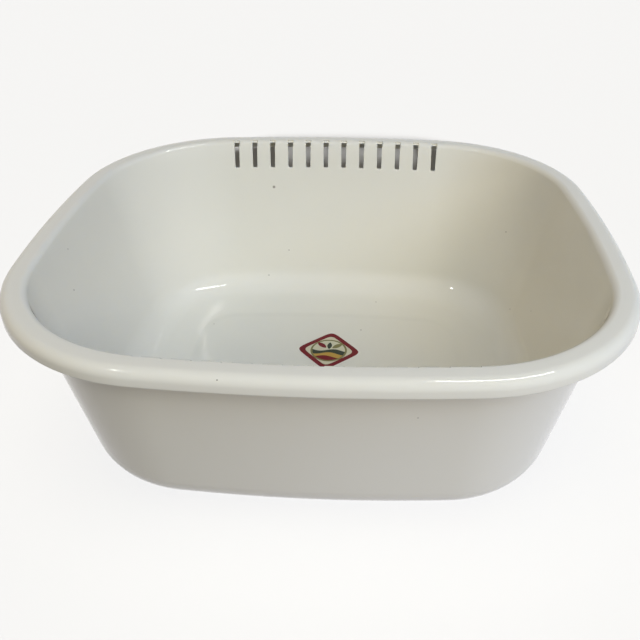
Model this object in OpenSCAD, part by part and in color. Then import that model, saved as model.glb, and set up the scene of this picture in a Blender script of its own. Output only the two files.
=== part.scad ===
// Washing up bowl: one moulded shell with a rolled rim and drain slots, and a square label on its floor.
// The origin is the middle of the base, on the surface the bowl stands on. +X runs along the bowl's
// length, the front long side faces -Y, and +Z is up.

/* [Bowl] */
// Length over the rim, end to end
bowl_l = 380; // [340:1:420]
// Width over the rim, front to back
bowl_w = 342; // [310:1:370]
// Height from the foot to the top of the rim
bowl_h = 135; // [110:1:160]
// Plan radius of the bowed long sides, at the edge of the rim
side_r = 1050; // [900:10:1400]
// Plan radius of the bowed ends, at the edge of the rim
end_r = 820; // [700:10:1200]
// Plan radius of the corners, at the edge of the rim
corner_r = 110; // [102:1:125]

/* [Walls] */
// Thickness of the moulding
wall_t = 2; // [1.4:0.1:2.6]
// Lean of the walls from upright, in degrees
wall_lean = 11.3; // [6:0.1:14]
// Outer radius of the round between the walls and the foot
base_r = 30; // [20:1:36]

/* [Rim] */
// Width of the rim, from its outer edge to the inner face of the wall
rim_w = 15; // [13:0.5:20]
// Height of the rim, from the lower edge of its skirt to its top
rim_h = 10; // [9:0.5:16]
// Radius of the rim's outer round
rim_outer_r = 6; // [4:0.5:6.5]
// Radius of the round between the rim and the wall
rim_inner_r = 4.5; // [3.5:0.5:6]

/* [Foot and floor] */
// Width of the flat ring that the bowl stands on
foot_w = 15.5; // [8:0.5:18]
// Height of the floor panel above the ring
panel_rise = 1.5; // [0.5:0.1:3]
// Width of the slope between the ring and the panel
panel_slope_w = 4; // [2:0.5:6]

/* [Drain slots] */
// Number of slots in each long side
slot_count = 12; // [1:1:16]
// Distance from one slot to the next
slot_pitch = 15.25; // [8:0.25:15.5]
// Width of a slot at its top
slot_top_w = 4.3; // [2:0.1:6]
// Width of a slot at its bottom
slot_bottom_w = 3.8; // [2:0.1:6]
// Height of the slots, down from the underside of the rim
slot_h = 20.5; // [8:0.5:40]
// Radius of a slot's two lower corners
slot_corner_r = 0.9; // [0.2:0.1:0.9]

/* [Label] */
// Side of the square label
label_side = 38; // [20:1:60]
// Radius of the label's corners
label_corner_r = 2.5; // [0.5:0.5:8]
// Thickness of the label
label_t = 0.2; // [0.1:0.05:0.5]
// Place of the label's middle along the bowl
label_x = 1; // [-60:1:60]
// Place of the label's middle across the bowl
label_y = 34.5; // [-45:0.5:45]
// Turn of the label from standing squarely on one corner, in degrees
label_turn = -4; // [-45:1:45]

/* [Hidden] */
// Flat steps that the shell is drawn with: along a corner, a long side and an end in plan, and
// along the rim's outer round, its inner round and the round at the base in section
corner_steps = 14;
side_steps = 6;
end_steps = 6;
rim_outer_steps = 4;
rim_inner_steps = 3;
base_steps = 7;
// Sides of a full circle on the slots and the label
round_fn = 48;
// What a slot's cutter runs past the inside of the wall
overlap = 2;

// Centres of the plan arcs of the back long side and of the right-hand end
side_centre = [0, bowl_w / 2 - side_r];
end_centre = [bowl_l / 2 - end_r, 0];
// The corner arc touches both: its centre is this far from theirs
side_reach = side_r - corner_r;
end_reach = end_r - corner_r;
corner_centre = circles_meet(side_centre, side_reach, end_centre, end_reach);
// Half the angle of a side arc, and of an end arc
side_half = asin(corner_centre.x / side_reach);
end_half = asin(corner_centre.y / end_reach);

// The section is drawn with x as the inset from the rim's outer edge, and y as the height
wall_run = tan(wall_lean);
function wall_inner(z) = rim_w + wall_run * (bowl_h - z);
function wall_outer(z) = wall_inner(z) - wall_t / cos(wall_lean);
rim_under = bowl_h - wall_t;
skirt_low = bowl_h - rim_h;
// Inset at which the round at the base meets the ring of the foot
foot_edge = wall_outer(base_r) + base_r / cos(wall_lean);
panel_edge = foot_edge + foot_w;
panel_flat = panel_edge + panel_slope_w;
floor_top = panel_rise + wall_t;

// Centres of the section's rounds. The outside and the inside of the wall share them.
rim_outer_centre = [rim_outer_r, bowl_h - rim_outer_r];
rim_inner_height = bowl_h - rim_inner_r;
rim_inner_centre = [wall_inner(rim_inner_height) - rim_inner_r / cos(wall_lean), rim_inner_height];
base_centre = [foot_edge, base_r];

// The section from the edge of the floor panel up the inside, over the rim, down its skirt, back up
// under the rim, and down the outside to the underside of the panel
SECTION = concat(
    [[panel_flat, floor_top], [panel_edge, wall_t]],
    arc_points(base_centre, base_r - wall_t, 270, 180 + wall_lean, base_steps),
    arc_points(rim_inner_centre, rim_inner_r, wall_lean, 90, rim_inner_steps),
    arc_points(rim_outer_centre, rim_outer_r, 90, 180, rim_outer_steps),
    [[0, skirt_low], [wall_t, skirt_low]],
    arc_points(rim_outer_centre, rim_outer_r - wall_t, 180, 90, rim_outer_steps),
    arc_points(rim_inner_centre, rim_inner_r - wall_t, 90, wall_lean, rim_inner_steps),
    arc_points(base_centre, base_r, 180 + wall_lean, 270, base_steps),
    [[panel_edge, 0], [panel_flat, panel_rise]]
);

// The plan of the rim, anticlockwise from the right-hand end: [centre, radius, from, to, steps]
PLAN = [
    [end_centre, end_r, -end_half, end_half, end_steps],
    [corner_centre, corner_r, end_half, 90 - side_half, corner_steps],
    [side_centre, side_r, 90 - side_half, 90 + side_half, side_steps],
    [[-corner_centre.x, corner_centre.y], corner_r, 90 + side_half, 180 - end_half, corner_steps],
    [-end_centre, end_r, 180 - end_half, 180 + end_half, end_steps],
    [-corner_centre, corner_r, 180 + end_half, 270 - side_half, corner_steps],
    [-side_centre, side_r, 270 - side_half, 270 + side_half, side_steps],
    [[corner_centre.x, -corner_centre.y], corner_r, 270 + side_half, 360 - end_half, corner_steps]
];
// A station for each step round the plan: [centre, radius, angle]
STATIONS = [
    for (arc = PLAN)
        for (i = [0:arc[4] - 1])
            [arc[0], arc[1], arc[2] + (arc[3] - arc[2]) * i / arc[4]]
];

// Slots stop half way across the hollow of the rim, so that the skirt outside them stays whole
slot_low = rim_under - slot_h;
slot_start_inset = (wall_t + wall_outer(rim_under)) / 2;
slot_end_inset = wall_inner(slot_low) + overlap;
// Corners of a slot and of the label, each as [x, y, radius]
SLOT = [
    [-slot_bottom_w / 2, slot_low, slot_corner_r],
    [slot_bottom_w / 2, slot_low, slot_corner_r],
    [slot_top_w / 2, rim_under, 0],
    [-slot_top_w / 2, rim_under, 0]
];
label_half = label_side / 2;
LABEL = [
    [-label_half, -label_half, label_corner_r],
    [label_half, -label_half, label_corner_r],
    [label_half, label_half, label_corner_r],
    [-label_half, label_half, label_corner_r]
];

// Point at distance ra from a and rb from b, on the side away from the origin
function circles_meet(a, ra, b, rb) =
    let (d = norm(b - a))
    let (u = (b - a) / d)
    let (m = (ra * ra - rb * rb + d * d) / (2 * d))
    a + m * u + sqrt(ra * ra - m * m) * [abs(u.y), abs(u.x)];

// Points along an arc about a centre, between two angles, ends included
function arc_points(centre, r, from, to, steps) =
    [for (i = [0:steps])
        let (angle = from + (to - from) * i / steps)
        centre + r * [cos(angle), sin(angle)]];

// A section point carried to a station of the plan
function carried(station, point) =
    let (r = station[1] - point.x)
    [station[0].x + r * cos(station[2]), station[0].y + r * sin(station[2]), point.y];

// Place across the bowl of the back side's plan arc, at an inset and a place along the bowl
function side_y(inset, x) = side_centre.y + sqrt(pow(side_r - inset, 2) - x * x);

// What lies between the point of corner b and its round of radius r, with a and c its neighbours
module corner_piece(a, b, c, r) {
    u = (a - b) / norm(a - b);
    v = (c - b) / norm(c - b);
    half = acos(u * v) / 2;
    centre = b + (u + v) / norm(u + v) * r / sin(half);
    difference() {
        polygon([b, b + u * r / tan(half), centre, b + v * r / tan(half)]);
        translate(centre) circle(r, $fn = round_fn);
    }
}

// Polygon of [x, y, radius] corners, each rounded to its radius
module rounded(corners) {
    n = len(corners);
    points = [for (c = corners) [c.x, c.y]];
    difference() {
        polygon(points);
        for (i = [0:n - 1])
            if (corners[i][2] > 0)
                corner_piece(points[(i + n - 1) % n], points[i], points[(i + 1) % n], corners[i][2]);
    }
}

// The section carried right round the plan, closed by the floor panel's two flat faces
module shell() {
    around = len(STATIONS);
    along = len(SECTION);
    function at(i, j) = (i % around) * along + j;
    strips = [
        for (i = [0:around - 1])
            for (j = [0:along - 2])
                for (half = [0, 1])
                    half == 0
                        ? [at(i, j), at(i + 1, j), at(i + 1, j + 1)]
                        : [at(i, j), at(i + 1, j + 1), at(i, j + 1)]
    ];
    panel_top = [for (i = [around - 1:-1:0]) at(i, 0)];
    panel_underside = [for (i = [0:around - 1]) at(i, along - 1)];
    polyhedron(
        points = [for (station = STATIONS) for (point = SECTION) carried(station, point)],
        faces = concat(strips, [panel_top, panel_underside])
    );
}

// Cutter for one slot through the back wall, at a place along the bowl
module slot(x) {
    start_y = side_y(slot_end_inset, x);
    end_y = side_y(slot_start_inset, x);
    translate([x, end_y, 0])
        rotate([90, 0, 0])
            linear_extrude(end_y - start_y)
                rounded(SLOT);
}

module slot_row() {
    for (i = [0:slot_count - 1])
        slot((i - (slot_count - 1) / 2) * slot_pitch);
}

module bowl() {
    color("ivory")
        difference() {
            shell();
            slot_row();
            mirror([0, 1, 0]) slot_row();
        }
}

module label() {
    color("maroon")
        translate([label_x, label_y, floor_top])
            rotate(45 + label_turn)
                linear_extrude(label_t)
                    rounded(LABEL);
}

bowl();
label();
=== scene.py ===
"""A washing up bowl in glossy cream plastic, with drain slots under its rim and a printed label."""

import math

import bpy
import numpy as np
from mathutils import Matrix, Vector


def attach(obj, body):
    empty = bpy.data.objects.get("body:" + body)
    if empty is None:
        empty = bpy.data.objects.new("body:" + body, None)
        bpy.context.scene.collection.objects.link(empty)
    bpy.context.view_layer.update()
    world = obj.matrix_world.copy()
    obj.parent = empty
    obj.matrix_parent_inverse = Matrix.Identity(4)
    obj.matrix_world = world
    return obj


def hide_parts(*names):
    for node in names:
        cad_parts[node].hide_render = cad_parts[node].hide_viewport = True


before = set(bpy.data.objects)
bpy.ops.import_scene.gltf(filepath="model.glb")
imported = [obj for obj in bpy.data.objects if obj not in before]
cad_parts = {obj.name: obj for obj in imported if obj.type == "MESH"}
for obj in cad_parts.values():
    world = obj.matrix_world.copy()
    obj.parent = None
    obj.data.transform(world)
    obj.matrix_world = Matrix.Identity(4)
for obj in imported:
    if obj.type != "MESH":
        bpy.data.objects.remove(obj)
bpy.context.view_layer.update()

# The bowl. One injection moulding in cream polypropylene, 2 mm thick and a little more round the foot. The
# walls taper to a rounded foot, the rim rolls over into a short skirt, and two rows of drain slots are
# cored through the walls under it. The middle of the floor is raised, so that a ring stands on the sink.
length = 0.380
width = 0.342
height = 0.135
side_radius = 1.050
end_radius = 0.820
corner_radius = 0.110
wall = 0.002
lean = math.radians(11.3)
base_round = 0.030
rim_width = 0.015
rim_height = 0.010
rim_outer_round = 0.006
rim_inner_round = 0.0045
skirt_edge_round = 0.0007
foot_width = 0.0155
panel_rise = 0.0015
panel_slope = 0.004
panel_slope_inside = 0.009
ring_tilt = math.radians(6)
inside_round = 0.025


def wall_inner(z):
    """Inset of the wall's inner face at a height: the rim's width plus the run of the lean below it."""
    return rim_width + math.tan(lean) * (height - z)


def wall_outer(z):
    """Inset of the wall's outer face: one thickness, measured level, outside the inner face."""
    return wall_inner(z) - wall / math.cos(lean)


foot_start = wall_outer(base_round) + base_round / math.cos(lean)
panel_start = foot_start + foot_width
base_centre = (foot_start, base_round)
inside_centre = (foot_start - (base_round - wall - inside_round) / math.cos(lean), base_round)
ring_run = panel_start - inside_centre[0] + inside_round * math.sin(ring_tilt)
ring_low = base_round - inside_round * math.cos(ring_tilt) - ring_run * math.tan(ring_tilt)
panel_top = panel_rise + wall
rim_outer_centre = (rim_outer_round, height - rim_outer_round)
rim_inner_height = height - rim_inner_round
rim_inner_centre = (wall_inner(rim_inner_height) - rim_inner_round / math.cos(lean), rim_inner_height)
skirt_low = height - rim_height


def bend(centre, radius, start, stop, steps):
    """Section points along a round: centre plus radius times the cosine and sine of an even run of angles."""
    angle = np.radians(np.linspace(start, stop, steps + 1))
    return np.stack([centre[0] + radius * np.cos(angle), centre[1] + radius * np.sin(angle)], axis=1)


def straight(start, stop, steps):
    """Section points strictly between two points, evenly spaced along the line that joins them."""
    share = np.linspace(0, 1, steps + 1)[1:-1, None]
    return np.array(start) * (1 - share) + np.array(stop) * share


def panel_step(run, low, high, steps):
    """Section points up the step to the floor panel: height follows the smooth curve 3t^2 - 2t^3."""
    share = np.linspace(0, 1, steps + 1)
    rise = (high - low) * (3 * share**2 - 2 * share**3)
    return np.stack([panel_start + run * share, low + rise], axis=1)


# Steps that the foot's rounds, its ring, the walls, the skirt's edges and the rim's flats are drawn in
foot_steps = 24
ring_steps = 3
wall_steps = 14
edge_steps = 4
rim_flat_steps = 2

wall_tilt = math.degrees(lean)
edge_height = skirt_low + skirt_edge_round
inside_low = bend(inside_centre, inside_round, 270 - math.degrees(ring_tilt), 180 + wall_tilt, foot_steps)
inside_top = bend(rim_inner_centre, rim_inner_round, wall_tilt, 90, 12)
rim_top = bend(rim_outer_centre, rim_outer_round, 90, 180, 14)
skirt_outer_edge = bend((skirt_edge_round, edge_height), skirt_edge_round, 180, 270, edge_steps)
skirt_inner_edge = bend((wall - skirt_edge_round, edge_height), skirt_edge_round, 270, 360, edge_steps)
under_rim = bend(rim_outer_centre, rim_outer_round - wall, 180, 90, 10)
under_inner = bend(rim_inner_centre, rim_inner_round - wall, 90, wall_tilt, 8)
outside_low = bend(base_centre, base_round, 180 + wall_tilt, 270, foot_steps)
section = np.concatenate([
    panel_step(panel_slope_inside, ring_low, panel_top, 10)[::-1],
    straight((panel_start, ring_low), inside_low[0], ring_steps),
    inside_low,
    straight(inside_low[-1], inside_top[0], wall_steps),
    inside_top,
    straight(inside_top[-1], rim_top[0], rim_flat_steps),
    rim_top,
    straight(rim_top[-1], skirt_outer_edge[0], rim_flat_steps),
    skirt_outer_edge,
    skirt_inner_edge,
    straight(skirt_inner_edge[-1], under_rim[0], rim_flat_steps),
    under_rim,
    straight(under_rim[-1], under_inner[0], rim_flat_steps),
    under_inner,
    straight(under_inner[-1], outside_low[0], wall_steps),
    outside_low,
    straight(outside_low[-1], (panel_start, 0), ring_steps),
    panel_step(panel_slope, 0, panel_rise, 8),
])

# The plan is eight arcs: bowed sides and ends, and corners that touch both
side_centre = np.array([0, width / 2 - side_radius])
end_centre = np.array([length / 2 - end_radius, 0])
side_reach = side_radius - corner_radius
end_reach = end_radius - corner_radius
apart = np.linalg.norm(end_centre - side_centre)
along = (end_centre - side_centre) / apart
foot_of_meet = (side_reach**2 - end_reach**2 + apart**2) / (2 * apart)
aside = math.sqrt(side_reach**2 - foot_of_meet**2)
corner_centre = side_centre + foot_of_meet * along + aside * np.abs(along[::-1])
side_half = math.degrees(math.asin(corner_centre[0] / side_reach))
end_half = math.degrees(math.asin(corner_centre[1] / end_reach))
mirror_x = np.array([-1, 1])
mirror_y = np.array([1, -1])
end_steps = 24
corner_steps = 40
side_steps = 30
plan = [
    (end_centre, end_radius, -end_half, end_half, end_steps),
    (corner_centre, corner_radius, end_half, 90 - side_half, corner_steps),
    (side_centre, side_radius, 90 - side_half, 90 + side_half, side_steps),
    (corner_centre * mirror_x, corner_radius, 90 + side_half, 180 - end_half, corner_steps),
    (-end_centre, end_radius, 180 - end_half, 180 + end_half, end_steps),
    (-corner_centre, corner_radius, 180 + end_half, 270 - side_half, corner_steps),
    (-side_centre, side_radius, 270 - side_half, 270 + side_half, side_steps),
    (corner_centre * mirror_y, corner_radius, 270 + side_half, 360 - end_half, corner_steps),
]
centres = np.concatenate([np.tile(centre, (steps, 1)) for centre, _, _, _, steps in plan])
radii = np.concatenate([np.full(steps, radius) for _, radius, _, _, steps in plan])
angles = np.radians(np.concatenate([
    start + (stop - start) * np.arange(steps) / steps for _, _, start, stop, steps in plan
]))


def carried(inset_and_height):
    """Section points carried round the plan: at each station the point lies its inset short of the
    plan's radius, along the station's angle, at its own height. Result: stations x points x 3."""
    reach = radii[:, None] - inset_and_height[None, :, 0]
    x = centres[:, :1] + reach * np.cos(angles)[:, None]
    y = centres[:, 1:] + reach * np.sin(angles)[:, None]
    z = np.broadcast_to(inset_and_height[None, :, 1], x.shape)
    return np.stack([x, y, z], axis=2)


def drawn_in(ring, steps):
    """Rings between a level ring and the bowl's middle: the ring times an even run of shares below 1."""
    share = np.linspace(1, 0, steps + 1)[1:-1]
    rings = ring[:, None, :] * share[None, :, None]
    rings[:, :, 2] = ring[:, None, 2]
    return rings


panel_rings = 12


def shell_mesh(name):
    """The closed moulding: panel rings from the middle out, the section round the plan, and panel rings
    back in underneath, joined as a grid of quads that closes on itself and at one point on each face."""
    body = carried(section)
    top_rings = drawn_in(body[:, 0], panel_rings)[:, ::-1]
    low_rings = drawn_in(body[:, -1], panel_rings)
    grid = np.concatenate([top_rings, body, low_rings], axis=1)
    stations, rows = grid.shape[:2]
    top_pole = (0, 0, body[0, 0, 2])
    low_pole = (0, 0, body[0, -1, 2])
    points = np.concatenate([grid.reshape(-1, 3), [top_pole, low_pole]])
    here = np.arange(stations)
    ahead = (here + 1) % stations
    row = np.arange(rows - 1)
    quads = np.stack([
        here[:, None] * rows + row,
        here[:, None] * rows + row + 1,
        ahead[:, None] * rows + row + 1,
        ahead[:, None] * rows + row,
    ], axis=2).reshape(-1, 4)
    top_fan = np.stack([np.full(stations, len(points) - 2), here * rows, ahead * rows], axis=1)
    low_fan = np.stack([
        np.full(stations, len(points) - 1),
        (ahead + 1) * rows - 1,
        (here + 1) * rows - 1,
    ], axis=1)
    mesh = bpy.data.meshes.new(name)
    mesh.from_pydata(points.tolist(), [], quads.tolist() + top_fan.tolist() + low_fan.tolist())
    mesh.update()
    return mesh


slot_count = 12
slot_pitch = 0.01525
slot_top_width = 0.0043
slot_bottom_width = 0.0038
slot_height = 0.0205
slot_corner = 0.0009
slot_corner_steps = 6
slot_overlap = 0.002
# The cutter stops just short of the rim's underside, so that no two faces lie in one plane
slot_clearance = 0.00002
slot_roof = height - wall - slot_clearance
slot_low = height - wall - slot_height
slot_start = (wall + wall_outer(height - wall)) / 2
slot_end = wall_inner(slot_low) + slot_overlap
slot_places = (np.arange(slot_count) - (slot_count - 1) / 2) * slot_pitch
half_turn = np.array([-1, -1, 1])
# Above each slot its core has left a shallow dent, which nicks the edge of the rim
dent_width = 0.0052
dent_depth = 0.0012
dent_overlap = 0.0008
dent_start, dent_stop = wall_tilt, 76
dent_steps = 8


def slot_outline():
    """Outline of a slot, as x and height: a tapered upright with its two lower corners rounded."""
    half_low = slot_bottom_width / 2 - slot_corner
    low = slot_low + slot_corner
    left = bend((-half_low, low), slot_corner, 180, 270, slot_corner_steps)
    right = bend((half_low, low), slot_corner, 270, 360, slot_corner_steps)
    top = [(slot_top_width / 2, slot_roof), (-slot_top_width / 2, slot_roof)]
    return np.concatenate([left, right, top])


def slots_mesh(name):
    """Cutters for both rows: the outline swept straight across the wall, between two insets of the
    side's plan arc, at even places along the bowl; the front row is the back one turned half round."""
    outline = slot_outline()
    corners = len(outline)
    near = side_centre[1] + np.sqrt((side_radius - slot_end) ** 2 - slot_places**2)
    far = side_centre[1] + np.sqrt((side_radius - slot_start) ** 2 - slot_places**2)
    x = slot_places[:, None] + outline[None, :, 0]
    z = np.broadcast_to(outline[None, :, 1], x.shape)
    near_ring = np.stack([x, np.broadcast_to(near[:, None], x.shape), z], axis=2)
    far_ring = np.stack([x, np.broadcast_to(far[:, None], x.shape), z], axis=2)
    back = np.concatenate([near_ring, far_ring], axis=1)
    points = np.concatenate([back, back * half_turn]).reshape(-1, 3)
    first = np.arange(2 * slot_count) * 2 * corners
    here = np.arange(corners)
    ahead = (here + 1) % corners
    sides = np.stack([here, here + corners, ahead + corners, ahead], axis=1)
    sides = (first[:, None, None] + sides[None]).reshape(-1, 4)
    near_caps = first[:, None] + here
    far_caps = first[:, None] + here[::-1] + corners
    mesh = bpy.data.meshes.new(name)
    mesh.from_pydata(points.tolist(), [], sides.tolist() + near_caps.tolist() + far_caps.tolist())
    mesh.update()
    return mesh


def dents_mesh(name):
    """Cutters for the dents above both rows: a curved bar from dent_depth under the round inside the rim
    to a little above it, between two angles of that round, swept along the bowl by the dent's width."""
    deep = bend(rim_inner_centre, rim_inner_round - dent_depth, dent_start, dent_stop, dent_steps)
    clear = bend(rim_inner_centre, rim_inner_round + dent_overlap, dent_stop, dent_start, dent_steps)
    outline = np.concatenate([deep, clear])
    corners = len(outline)
    reach = side_radius - outline[None, :, 0]
    y = side_centre[1] + np.sqrt(reach**2 - slot_places[:, None] ** 2)
    z = np.broadcast_to(outline[None, :, 1], y.shape)
    ends = [np.stack([np.broadcast_to((slot_places + shift)[:, None], y.shape), y, z], axis=2)
            for shift in (-dent_width / 2, dent_width / 2)]
    back = np.concatenate(ends, axis=1)
    points = np.concatenate([back, back * half_turn]).reshape(-1, 3)
    first = np.arange(2 * slot_count) * 2 * corners
    here = np.arange(corners)
    ahead = (here + 1) % corners
    sides = np.stack([here, ahead, ahead + corners, here + corners], axis=1)
    sides = (first[:, None, None] + sides[None]).reshape(-1, 4)
    left_caps = first[:, None] + here[::-1]
    right_caps = first[:, None] + here + corners
    mesh = bpy.data.meshes.new(name)
    mesh.from_pydata(points.tolist(), [], sides.tolist() + left_caps.tolist() + right_caps.tolist())
    mesh.update()
    return mesh


def placed(name, mesh):
    """Links a mesh into the scene as an object at the origin."""
    thing = bpy.data.objects.new(name, mesh)
    bpy.context.scene.collection.objects.link(thing)
    return thing


blank = placed("bowl_blank", shell_mesh("bowl_blank"))
slot_cutters = placed("slot_cutters", slots_mesh("slot_cutters"))
dent_cutters = placed("dent_cutters", dents_mesh("dent_cutters"))
for cutters in (slot_cutters, dent_cutters):
    cut = blank.modifiers.new(cutters.name, "BOOLEAN")
    cut.operation = "DIFFERENCE"
    cut.solver = "EXACT"
    cut.object = cutters
bpy.context.view_layer.update()
depsgraph = bpy.context.evaluated_depsgraph_get()
bowl_mesh = bpy.data.meshes.new_from_object(blank.evaluated_get(depsgraph))
bowl_mesh.name = "bowl_shell"
for scrap in (blank, slot_cutters, dent_cutters):
    bpy.data.objects.remove(scrap)
# Edges that turn by more than this stay sharp, which leaves the slots crisp
sharp_turn = math.radians(35)
bowl_mesh.polygons.foreach_set("use_smooth", np.ones(len(bowl_mesh.polygons), bool))
bowl_mesh.set_sharp_from_angle(angle=sharp_turn)
bowl = placed("bowl_shell", bowl_mesh)


def wired(tree, kind, settings=None, **inputs):
    """Adds a shader node, sets its properties, and gives each named input a value or a link. An input
    called _0 is the first one, _1 the second, and so on."""
    made = tree.nodes.new(kind)
    for key, value in (settings or {}).items():
        setattr(made, key, value)
    for key, value in inputs.items():
        socket = made.inputs[int(key[1:]) if key[0] == "_" else key.replace("_", " ")]
        if isinstance(value, bpy.types.NodeSocket):
            tree.links.new(value, socket)
        else:
            socket.default_value = value
    return made


def result_of(tree, operation, a, b=0.0):
    """A Math node's result."""
    return wired(tree, "ShaderNodeMath", {"operation": operation}, _0=a, _1=b).outputs[0]


def fresh_material(name):
    """A new material with an empty tree, and its output node."""
    material = bpy.data.materials.new(name)
    material.use_nodes = True
    material.node_tree.nodes.clear()
    return material, material.node_tree, material.node_tree.nodes.new("ShaderNodeOutputMaterial")


# Specks of dirt left by use: place on the surface, and radius
specks = [
    (-0.0528, 0.1469, 0.0961, 0.0012),
    (-0.1717, -0.0172, 0.1192, 0.0005),
    (-0.1666, -0.0323, 0.0962, 0.0006),
    (-0.0989, 0.0679, 0.0034, 0.0005),
    (-0.0404, 0.1362, 0.0398, 0.0005),
    (-0.0588, 0.1293, 0.0172, 0.0005),
    (0.0390, 0.1079, 0.0048, 0.0005),
    (0.0265, 0.0651, 0.0035, 0.0006),
    (0.1490, 0.0722, 0.0239, 0.0005),
    (0.1564, 0.0355, 0.0460, 0.0005),
    (0.1443, 0.1078, 0.0768, 0.0005),
    (-0.0406, -0.1689, 0.1327, 0.0004),
    (0.0584, -0.1485, 0.0954, 0.0004),
]
# A speck is full out to its core and gone at its edge, both in its own radii. Noise makes it ragged.
speck_core = 0.5
speck_edge = 1.3
speck_cover = 0.85
speck_least = 0.4


def cream_plastic():
    """Glossy moulded polypropylene: cream, a touch uneven in shade and gloss, with a few dark specks."""
    material, tree, output = fresh_material("cream_plastic")
    place = wired(tree, "ShaderNodeTexCoord").outputs["Object"]
    cloud = wired(tree, "ShaderNodeTexNoise", Vector=place, Scale=9.0, Detail=3.0).outputs["Fac"]
    shade = wired(tree, "ShaderNodeMix", {"data_type": "RGBA"}, _0=cloud,
                  _6=(0.735, 0.718, 0.640, 1), _7=(0.775, 0.760, 0.680, 1)).outputs[2]
    ragged = wired(tree, "ShaderNodeTexNoise", Vector=place, Scale=900.0, Detail=2.0).outputs["Fac"]
    dirt = 0.0
    for x, y, z, radius in specks:
        gap = wired(tree, "ShaderNodeVectorMath", {"operation": "DISTANCE"}, _0=place, _1=(x, y, z))
        spot = wired(tree, "ShaderNodeMapRange", Value=gap.outputs["Value"], From_Min=radius * speck_edge,
                     From_Max=radius * speck_core, To_Min=0.0, To_Max=speck_cover).outputs[0]
        dirt = result_of(tree, "MAXIMUM", spot, dirt)
    dirt = result_of(tree, "MULTIPLY", dirt, result_of(tree, "ADD", ragged, speck_least))
    shade = wired(tree, "ShaderNodeMix", {"data_type": "RGBA"}, _0=dirt, _6=shade,
                  _7=(0.110, 0.090, 0.060, 1)).outputs[2]
    wear = wired(tree, "ShaderNodeTexNoise", Vector=place, Scale=60.0, Detail=5.0).outputs["Fac"]
    dullness = wired(tree, "ShaderNodeMapRange", Value=wear, From_Min=0.3, From_Max=0.75,
                     To_Min=0.06, To_Max=0.11).outputs[0]
    ripple = wired(tree, "ShaderNodeTexNoise", Vector=place, Scale=14.0, Detail=2.0).outputs["Fac"]
    bump = wired(tree, "ShaderNodeBump", Strength=0.05, Distance=0.004, Height=ripple).outputs[0]
    surface = wired(tree, "ShaderNodeBsdfPrincipled", Base_Color=shade, Roughness=dullness,
                    IOR=1.49, Normal=bump).outputs[0]
    tree.links.new(surface, output.inputs["Surface"])
    return material


bowl_mesh.materials.clear()
bowl_mesh.materials.append(cream_plastic())
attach(bowl, "root")
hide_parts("bowl")

# The label. A square of printed self-adhesive film, stuck to the floor panel so that it stands on one corner.
# It has a maroon border inside a thin unprinted edge. Inside are plain shapes: a ring round three leaves and
# three waves, with a grey disc in each corner.
label_middle = (0.001, 0.0345)
label_turn = math.radians(41)
label_side = 0.038
# The border's edges, in units of half the label's side, and the power that rounds its corners
border_inside = 0.775
border_outside = 0.985
corner_power = 7.0
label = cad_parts["label"]


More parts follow.
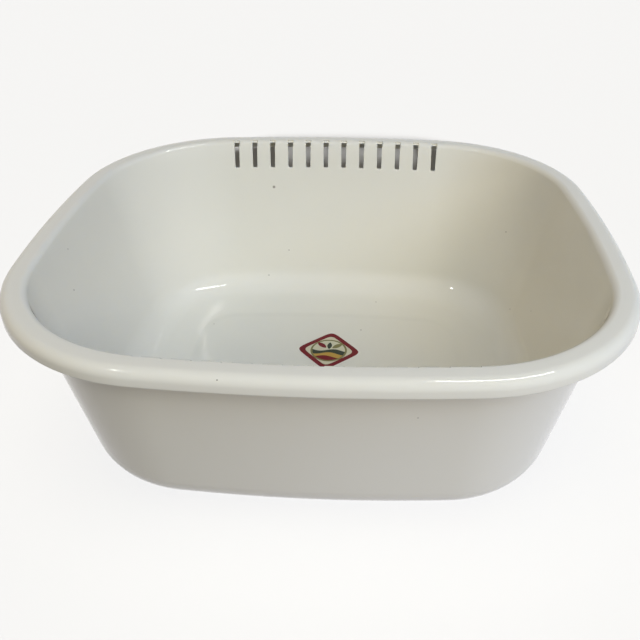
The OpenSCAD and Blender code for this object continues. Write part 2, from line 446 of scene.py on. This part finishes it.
def label_film():
    """Printed film: flat colours from plain shapes, in units of half the label's side."""
    material, tree, output = fresh_material("label_film")
    place = wired(tree, "ShaderNodeTexCoord").outputs["Object"]
    half = label_side / 2
    local = wired(tree, "ShaderNodeMapping", {"vector_type": "TEXTURE"}, Vector=place,
                  Location=(label_middle[0], label_middle[1], 0), Rotation=(0, 0, label_turn),
                  Scale=(half, half, half)).outputs[0]
    # Across and up are the directions of the print, with the label standing on its corner
    upright = wired(tree, "ShaderNodeMapping", Vector=local, Rotation=(0, 0, math.radians(45))).outputs[0]
    square = wired(tree, "ShaderNodeSeparateXYZ", Vector=local)
    print_axes = wired(tree, "ShaderNodeSeparateXYZ", Vector=upright)
    across, up = print_axes.outputs[0], print_axes.outputs[1]
    # Distance out from the middle, measured so that the border's corners come out rounded
    squared = [
        result_of(tree, "POWER", result_of(tree, "ABSOLUTE", square.outputs[axis]), corner_power)
        for axis in (0, 1)
    ]
    edge_distance = result_of(tree, "POWER", result_of(tree, "ADD", *squared), 1 / corner_power)
    paper = (0.600, 0.570, 0.420, 1)
    bare = (0.740, 0.725, 0.650, 1)
    maroon = (0.160, 0.008, 0.014, 1)
    olive = (0.200, 0.185, 0.070, 1)
    ochre = (0.480, 0.300, 0.060, 1)
    bottle = (0.035, 0.045, 0.030, 1)
    grey = (0.260, 0.250, 0.270, 1)

    def inked(under, colour, mask):
        """One colour printed over what is there, where the mask is 1."""
        return wired(tree, "ShaderNodeMix", {"data_type": "RGBA"}, _0=mask, _6=under, _7=colour).outputs[2]

    def below(line, height_of_wave, cycles, shift):
        """Mask of what lies below a wavy line across the label."""
        turn = result_of(tree, "MULTIPLY_ADD", across, cycles)
        turn.node.inputs[2].default_value = shift
        wave = result_of(tree, "MULTIPLY_ADD", result_of(tree, "SINE", turn), height_of_wave)
        wave.node.inputs[2].default_value = line
        return result_of(tree, "LESS_THAN", up, wave)

    def disc(x, y, radius):
        """Mask of a disc."""
        gap = wired(tree, "ShaderNodeVectorMath", {"operation": "DISTANCE"}, _0=upright, _1=(x, y, 0))
        return result_of(tree, "LESS_THAN", gap.outputs["Value"], radius)

    def leaf(first, second, radius):
        """Mask of a leaf: what two discs of one radius share."""
        return result_of(tree, "MULTIPLY", disc(*first, radius), disc(*second, radius))

    waves = inked(paper, bottle, below(0.02, 0.08, 5.0, 0.4))
    waves = inked(waves, ochre, below(-0.22, 0.08, 5.0, 1.3))
    waves = inked(waves, maroon, below(-0.44, 0.07, 5.0, 2.2))
    print_colour = inked(paper, olive, disc(0, 0, 0.80))
    print_colour = inked(print_colour, waves, disc(0, 0, 0.72))
    print_colour = inked(print_colour, maroon, leaf((-0.16, 0.54), (-0.50, 0.16), 0.42))
    print_colour = inked(print_colour, olive, leaf((0.16, 0.54), (0.50, 0.16), 0.42))
    print_colour = inked(print_colour, bottle, leaf((-0.25, 0.34), (0.25, 0.34), 0.40))
    for x, y, radius in ((0.0, 0.95, 0.09), (-0.93, 0.05, 0.10), (0.93, 0.05, 0.10), (0.0, -0.95, 0.09)):
        print_colour = inked(print_colour, grey, disc(x, y, radius))
    print_colour = inked(print_colour, maroon, result_of(tree, "GREATER_THAN", edge_distance, border_inside))
    print_colour = inked(print_colour, bare, result_of(tree, "GREATER_THAN", edge_distance, border_outside))
    surface = wired(tree, "ShaderNodeBsdfPrincipled", Base_Color=print_colour, Roughness=0.40, IOR=1.5,
                    Specular_IOR_Level=0.15)
    tree.links.new(surface.outputs[0], output.inputs["Surface"])
    return material


label.data.materials.clear()
label.data.materials.append(label_film())

# The floor and the light. A plain pale floor runs past the picture. Soft lamps light the bowl, mostly from
# the front right, with a warm one on the left and a weak one behind. A strip and a bulb overhead show only
# as fine bright marks on its rounds. The floor has two suns of its own, one low in front and one high.
floor_reach = 6
floor_corners = [
    (-floor_reach, -floor_reach, 0),
    (floor_reach, -floor_reach, 0),
    (floor_reach, floor_reach, 0),
    (-floor_reach, floor_reach, 0),
]
floor_mesh = bpy.data.meshes.new("floor")
floor_mesh.from_pydata(floor_corners, [], [(0, 1, 2, 3)])
floor = placed("floor", floor_mesh)


def pale_floor():
    """A matt floor that takes shadows: pale to the camera and in mirror images. What it throws back up
    at the bowl is dim, and falls along a smooth step to almost nothing on the left."""
    material, tree, output = fresh_material("pale_floor")
    path = wired(tree, "ShaderNodeLightPath")
    seen = result_of(tree, "MAXIMUM", path.outputs["Is Camera Ray"], path.outputs["Is Transmission Ray"])
    seen = result_of(tree, "MAXIMUM", seen, path.outputs["Is Glossy Ray"])
    place = wired(tree, "ShaderNodeTexCoord").outputs["Object"]
    across = wired(tree, "ShaderNodeSeparateXYZ", Vector=place).outputs[0]
    seen_tone = (0.450, 0.450, 0.450, 1)
    thrown_left = (0.015, 0.012, 0.007, 1)
    thrown_right = (0.155, 0.156, 0.190, 1)
    side = wired(tree, "ShaderNodeMapRange", {"interpolation_type": "SMOOTHSTEP"}, Value=across,
                 From_Min=-0.30, From_Max=0.10).outputs[0]
    thrown = wired(tree, "ShaderNodeMix", {"data_type": "RGBA"}, _0=side,
                   _6=thrown_left, _7=thrown_right).outputs[2]
    tone = wired(tree, "ShaderNodeMix", {"data_type": "RGBA"}, _0=seen, _6=thrown,
                 _7=seen_tone).outputs[2]
    matt = wired(tree, "ShaderNodeBsdfDiffuse", Color=tone).outputs[0]
    tree.links.new(matt, output.inputs["Surface"])
    return material


floor_mesh.materials.append(pale_floor())

# The world is pale to the camera and in mirror images, and gives hardly any light
world = bpy.data.worlds.new("studio")
bpy.context.scene.world = world
world.use_nodes = True
world.node_tree.nodes.clear()
sky = world.node_tree
sky_out = sky.nodes.new("ShaderNodeOutputWorld")
sky_path = wired(sky, "ShaderNodeLightPath")
dim_sky = wired(sky, "ShaderNodeBackground", Color=(1.0, 0.97, 0.90, 1), Strength=0.02).outputs[0]
pale_sky = wired(sky, "ShaderNodeBackground", Color=(0.93, 0.93, 0.93, 1), Strength=1.0).outputs[0]
shown = result_of(sky, "MAXIMUM", sky_path.outputs["Is Camera Ray"], sky_path.outputs["Is Transmission Ray"])
shown = result_of(sky, "MAXIMUM", shown, sky_path.outputs["Is Glossy Ray"])
seen_sky = wired(sky, "ShaderNodeMixShader", _0=shown, _1=dim_sky, _2=pale_sky).outputs[0]
sky.links.new(seen_sky, sky_out.inputs["Surface"])

# What the lamps reach: each one lights either the bowl with its label, or the floor
lights_bowl = bpy.data.collections.new("lights_bowl")
for piece in (bowl, label):
    lights_bowl.objects.link(piece)
lights_floor = bpy.data.collections.new("lights_floor")
lights_floor.objects.link(floor)
lamp_distance = 2.2
soft_lamp_width = 1.3


def lamp(name, kind, azimuth, elevation, power, colour, reaches):
    """A lamp that faces the bowl from lamp_distance away. Its place is that distance times the cosines
    and sines of its direction, which is in degrees from +X and up. It lights what it reaches."""
    light = bpy.data.lights.new(name, kind)
    light.energy = power
    light.color = colour
    turn, rise = math.radians(azimuth), math.radians(elevation)
    spread = math.cos(rise)
    place = lamp_distance * Vector((math.cos(turn) * spread, math.sin(turn) * spread, math.sin(rise)))
    fixture = bpy.data.objects.new(name, light)
    fixture.location = place
    fixture.rotation_euler = (-place).to_track_quat("-Z", "Y").to_euler()
    fixture.light_linking.receiver_collection = reaches
    bpy.context.scene.collection.objects.link(fixture)
    return fixture


def soft_lamp(name, azimuth, elevation, power, colour):
    """A round soft lamp on the bowl. It gives shape and no mirror image."""
    fixture = lamp(name, "AREA", azimuth, elevation, power, colour, lights_bowl)
    fixture.data.shape = "DISK"
    fixture.data.size = soft_lamp_width
    fixture.visible_glossy = False


soft_lamp("window", -60, 33, 25.4, (1.00, 0.90, 0.66))
soft_lamp("sky_right", -30, 33, 13.2, (0.14, 0.40, 1.00))
soft_lamp("sky_front", -100, 58, 12.4, (0.71, 0.84, 1.00))
soft_lamp("sky_high", -50, 56, 7.0, (1.00, 0.98, 0.95))
soft_lamp("room_left", 176, 33, 8.0, (1.00, 0.70, 0.33))
soft_lamp("room_back", 110, 14, 9, (0.92, 0.96, 1.00))

strip = lamp("strip_overhead", "AREA", -27, 63, 18, (1.00, 0.98, 0.94), lights_bowl)
strip.data.shape = "RECTANGLE"
strip.data.size = 1.15
strip.data.size_y = 0.12
strip.rotation_euler.rotate_axis("Z", math.radians(-48))
bulb = lamp("bulb_overhead", "AREA", -135, 48, 2.6, (1.00, 0.98, 0.94), lights_bowl)
bulb.data.shape = "DISK"
bulb.data.size = 0.15
for sparkle in (strip, bulb):
    sparkle.visible_diffuse = False

floor_light = lamp("floor_light", "SUN", -90, 20, 16.9, (1.0, 1.0, 1.0), lights_floor)
floor_light.data.angle = math.radians(3)
floor_fill = lamp("floor_fill", "SUN", -90, 80, 0.60, (1.0, 0.93, 0.78), lights_floor)
floor_fill.data.angle = math.radians(40)

# The camera. It stands where the picture was taken from, worked out from the rim, the slots and the label.
# Angles are in radians and distances in metres. The focal length and the optical centre are in pixels.
picture = 640
focal = 724.331
optical_centre = (327.590, 303.904)
azimuth, elevation, roll = -0.06015, 0.56609, -0.00517
distance = 0.524947
target = np.array([0.002160, 0.003988, 0.0675])
view = np.array([
    math.sin(azimuth) * math.cos(elevation),
    math.cos(azimuth) * math.cos(elevation),
    -math.sin(elevation),
])
level = np.array([math.cos(azimuth), -math.sin(azimuth), 0])
raised = np.cross(level, view)
right = level * math.cos(roll) + raised * math.sin(roll)
top = raised * math.cos(roll) - level * math.sin(roll)
stand = target - view * distance
lens = bpy.data.cameras.new("camera")
lens.sensor_width = 36
lens.lens = focal * lens.sensor_width / picture
lens.shift_x = (picture / 2 - optical_centre[0]) / picture
lens.shift_y = (optical_centre[1] - picture / 2) / picture
lens.clip_start = 0.01
camera = bpy.data.objects.new("camera", lens)
camera.matrix_world = Matrix([
    (right[0], top[0], -view[0], stand[0]),
    (right[1], top[1], -view[1], stand[1]),
    (right[2], top[2], -view[2], stand[2]),
    (0, 0, 0, 1),
])
bpy.context.scene.collection.objects.link(camera)
bpy.context.scene.camera = camera
bpy.context.scene.view_settings.view_transform = "Standard"
